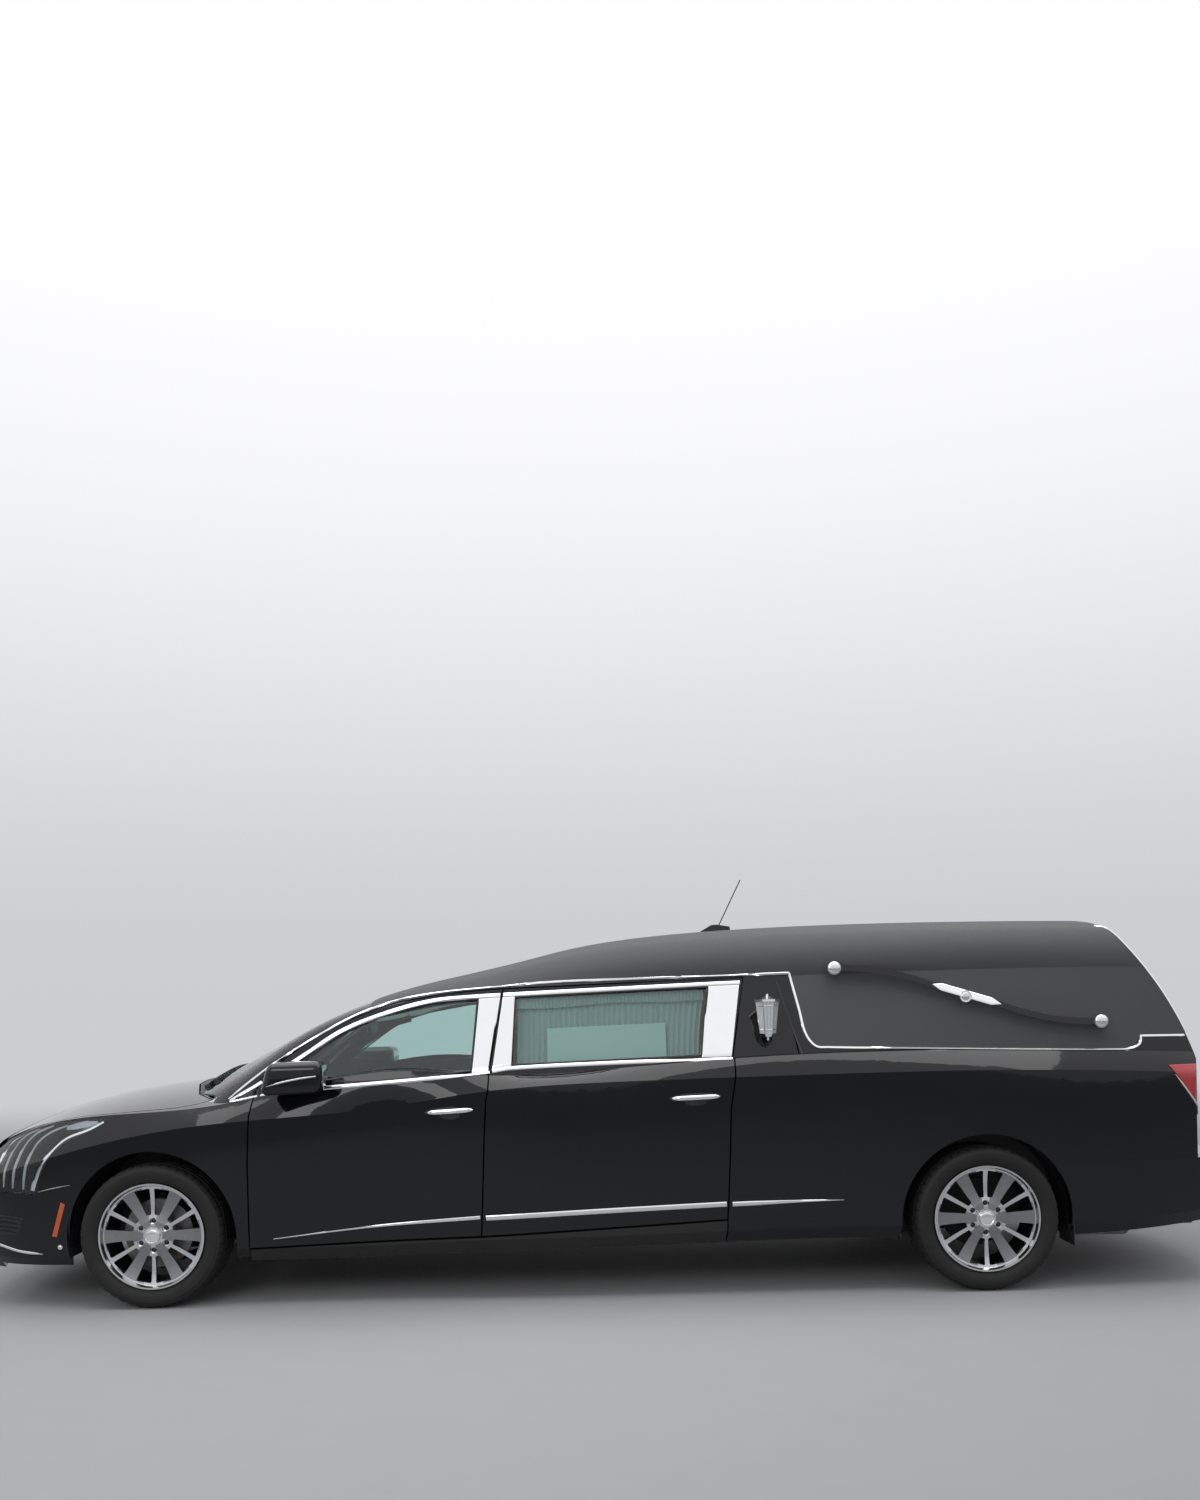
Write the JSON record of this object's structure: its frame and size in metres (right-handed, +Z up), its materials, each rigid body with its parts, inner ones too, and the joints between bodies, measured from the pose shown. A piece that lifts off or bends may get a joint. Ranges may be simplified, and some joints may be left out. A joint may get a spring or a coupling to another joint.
{
  "type": "hearse",
  "caption": "Long black hearse with a landau roof, side-hinged tail door, load deck, carriage lamps, opening doors and bonnet, steered front wheels",
  "frame": {"origin": "middle of the car's length and width, on the ground", "axes": "X from nose to tail, Y to the right-hand side, Z up"},
  "size_m": [6.3046, 2.17, 2.0713],
  "materials": {
    "black_paint": "deep gloss black paint",
    "black_vinyl": "grained black vinyl roof covering",
    "bright_trim": "polished bright metal",
    "tinted_glass": "lightly tinted safety glass",
    "lamp_glass": "clear lamp lens over a dark housing",
    "red_lens": "red lamp lens",
    "tyre_rubber": "tyre rubber",
    "wheel_alloy": "silver-painted alloy",
    "chassis_steel": "black-coated chassis steel",
    "cast_metal": "bare cast metal",
    "seat_leather": "dark seat leather",
    "trim_plastic": "dark interior plastic",
    "curtain_cloth": "pleated pale curtain cloth",
    "board_card": "plain pale board",
    "deck_panel": "varnished deck panel"
  },
  "bodies": {
    "root": {"front_wings": "black_paint", "headlamps": "lamp_glass", "scuttle": "black_paint", "front_bumper": "black_paint", "grille": "bright_trim", "windscreen": "tinted_glass", "rear_quarters": "black_paint", "rear_bumper": "black_paint", "roof": "black_vinyl", "body_frame": "black_paint", "floor_pan": "chassis_steel", "front_suspension": "chassis_steel", "rear_suspension": "chassis_steel", "engine": "cast_metal", "fuel_tank": "chassis_steel", "exhaust": "cast_metal", "front_seats": "seat_leather", "dashboard": "trim_plastic", "steering_wheel": "trim_plastic", "casket_deck": "deck_panel", "landau_bars": "bright_trim", "coach_lamps": "bright_trim", "tail_lamps": "red_lens", "antenna": "trim_plastic", "lower_grille": "trim_plastic", "wipers": "trim_plastic"},
    "bonnet": {"bonnet": "black_paint"},
    "front_door_l": {"front_door_left": "black_paint", "front_glass_left": "tinted_glass", "mirror_left": "bright_trim"},
    "front_door_r": {"front_door_right": "black_paint", "front_glass_right": "tinted_glass", "mirror_right": "bright_trim"},
    "side_door_l": {"side_door_left": "black_paint", "side_glass_left": "tinted_glass", "curtain_left": "curtain_cloth", "sign_board": "board_card"},
    "side_door_r": {"side_door_right": "black_paint", "side_glass_right": "tinted_glass", "curtain_right": "curtain_cloth"},
    "tail_door_b": {"tail_door": "black_paint", "tail_glass": "tinted_glass"},
    "knuckle_l": {"knuckle_left": "cast_metal"},
    "knuckle_r": {"knuckle_right": "cast_metal"},
    "front_wheel_l": {"front_rim_left": "wheel_alloy", "front_tyre_left": "tyre_rubber"},
    "front_wheel_r": {"front_rim_right": "wheel_alloy", "front_tyre_right": "tyre_rubber"},
    "rear_wheel_l": {"rear_rim_left": "wheel_alloy", "rear_tyre_left": "tyre_rubber"},
    "rear_wheel_r": {"rear_rim_right": "wheel_alloy", "rear_tyre_right": "tyre_rubber"}
  },
  "joints": [
    {"name": "bonnet_hinge", "type": "hinge", "parent": "root", "child": "bonnet", "pos_m": [-1.868, 0, 1.003], "axis": [0, 1, 0], "range_deg": [0, 50]},
    {"name": "front_door_left_hinge", "type": "hinge", "parent": "root", "child": "front_door_l", "pos_m": [-1.65, -0.928, 0.6], "axis": [0, 0, -1], "range_deg": [0, 65]},
    {"name": "front_door_right_hinge", "type": "hinge", "parent": "root", "child": "front_door_r", "pos_m": [-1.65, 0.928, 0.6], "axis": [0, 0, 1], "range_deg": [0, 65]},
    {"name": "side_door_left_hinge", "type": "hinge", "parent": "root", "child": "side_door_l", "pos_m": [-0.544, -0.932, 0.6], "axis": [0, 0, -1], "range_deg": [0, 65]},
    {"name": "side_door_right_hinge", "type": "hinge", "parent": "root", "child": "side_door_r", "pos_m": [-0.544, 0.932, 0.6], "axis": [0, 0, 1], "range_deg": [0, 65]},
    {"name": "tail_door_hinge", "type": "hinge", "parent": "root", "child": "tail_door_b", "pos_m": [2.98, -0.636, 0.9], "axis": [0, 0, -1], "range_deg": [0, 100]},
    {"name": "steering_left", "type": "hinge", "parent": "root", "child": "knuckle_l", "pos_m": [-2.13, -0.72, 0.344], "axis": [0, 0, 1], "range_deg": [-33, 33]},
    {"name": "steering_right", "type": "hinge", "parent": "root", "child": "knuckle_r", "pos_m": [-2.13, 0.72, 0.344], "axis": [0, 0, 1], "range_deg": [-33, 33]},
    {"name": "front_wheel_left_spin", "type": "hinge", "parent": "knuckle_l", "child": "front_wheel_l", "pos_m": [-2.13, -0.787, 0.344], "axis": [0, 1, 0], "continuous": true},
    {"name": "front_wheel_right_spin", "type": "hinge", "parent": "knuckle_r", "child": "front_wheel_r", "pos_m": [-2.13, 0.787, 0.344], "axis": [0, 1, 0], "continuous": true},
    {"name": "rear_wheel_left_spin", "type": "hinge", "parent": "root", "child": "rear_wheel_l", "pos_m": [1.85, -0.787, 0.344], "axis": [0, 1, 0], "continuous": true},
    {"name": "rear_wheel_right_spin", "type": "hinge", "parent": "root", "child": "rear_wheel_r", "pos_m": [1.85, 0.787, 0.344], "axis": [0, 1, 0], "continuous": true}
  ],
  "couplings": [
    {"joint": "steering_right", "follows": "steering_left", "ratio": 1}
  ]
}
